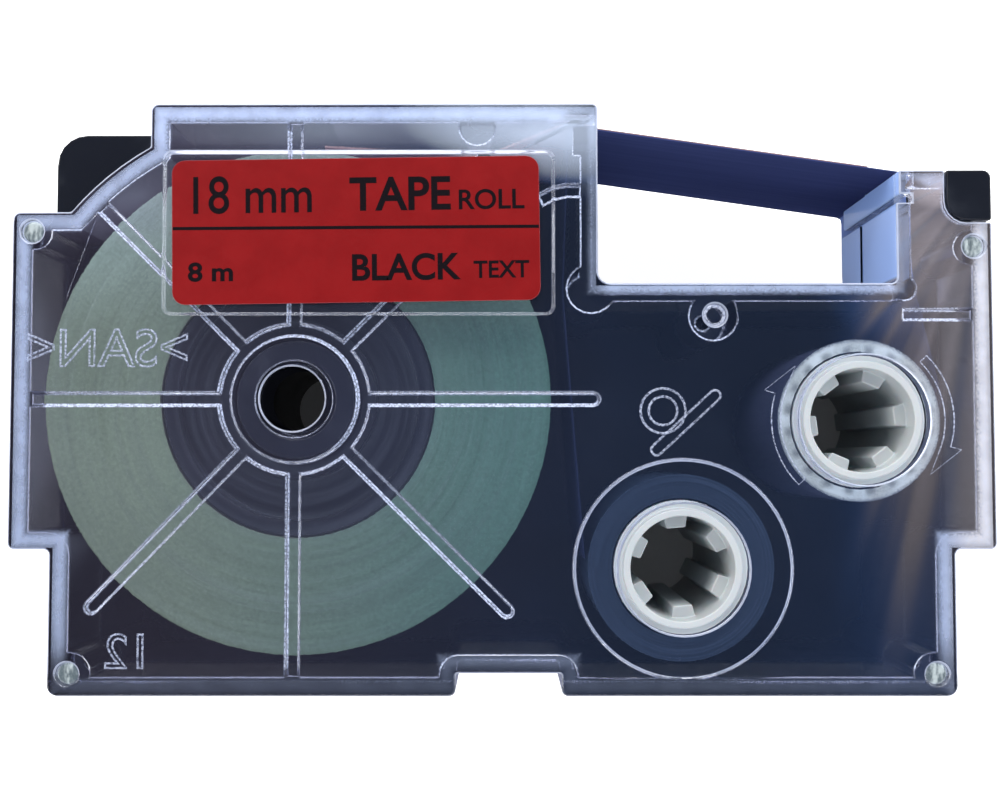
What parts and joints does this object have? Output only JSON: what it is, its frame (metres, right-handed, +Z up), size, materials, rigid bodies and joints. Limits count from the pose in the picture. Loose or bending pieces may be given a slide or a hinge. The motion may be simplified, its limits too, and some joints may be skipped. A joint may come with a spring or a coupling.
{
  "type": "label tape cartridge",
  "caption": "Thermal-transfer label tape cartridge: clear cover over a black tray, tape roll, ink ribbon on toothed supply and take-up hubs, open print-head window.",
  "frame": {"origin": "under the middle of the case, on the tray's flat base", "axes": "+X along the length, towards the take-up hub; +Y to the back, where the print window is; +Z up, out of the clear cover"},
  "size_m": [0.075, 0.0452, 0.023],
  "materials": {
    "clear_plastic": "clear, fine texture inside",
    "black_plastic": "moulded, satin",
    "core_plastic": "moulded, satin",
    "red_label": "printed film sticker",
    "label_tape": "edges of wound tape and its backing paper",
    "red_tape": "satin film",
    "clear_film": "clear film",
    "white_plastic": "satin",
    "ink_ribbon": "satin ink coating on thin film",
    "leader_film": "translucent wound film",
    "felt": "felt"
  },
  "bodies": {
    "case": {"lower_case": "black_plastic", "upper_case": "clear_plastic", "face_label": "red_label", "tape_run": "red_tape", "ribbon_run": "ink_ribbon", "upper_slip_sheet": "clear_film", "lower_slip_sheet": "clear_film", "supply_brake_washer": "felt"},
    "tape_spool": {"tape_core": "core_plastic", "tape_roll": "label_tape"},
    "supply_spool": {"ribbon_supply_hub": "white_plastic", "ribbon_supply_roll": "ink_ribbon"},
    "takeup_spool": {"ribbon_takeup_hub": "white_plastic", "ribbon_leader_roll": "leader_film"}
  },
  "joints": [
    {"name": "tape_spool_spin", "type": "hinge", "parent": "case", "child": "tape_spool", "pos_m": [-0.01597, -0.00014, 0.0107], "axis": [0, 0, -1], "continuous": true},
    {"name": "ribbon_supply_spin", "type": "hinge", "parent": "case", "child": "supply_spool", "pos_m": [0.0138, -0.0131, 0.0114], "axis": [0, 0, -1], "continuous": true},
    {"name": "ribbon_takeup_spin", "type": "hinge", "parent": "case", "child": "takeup_spool", "pos_m": [0.02765, -0.00176, 0.0114], "axis": [0, 0, -1], "continuous": true}
  ],
  "couplings": [
    {"joint": "ribbon_takeup_spin", "follows": "ribbon_supply_spin", "ratio": 1.1429}
  ]
}
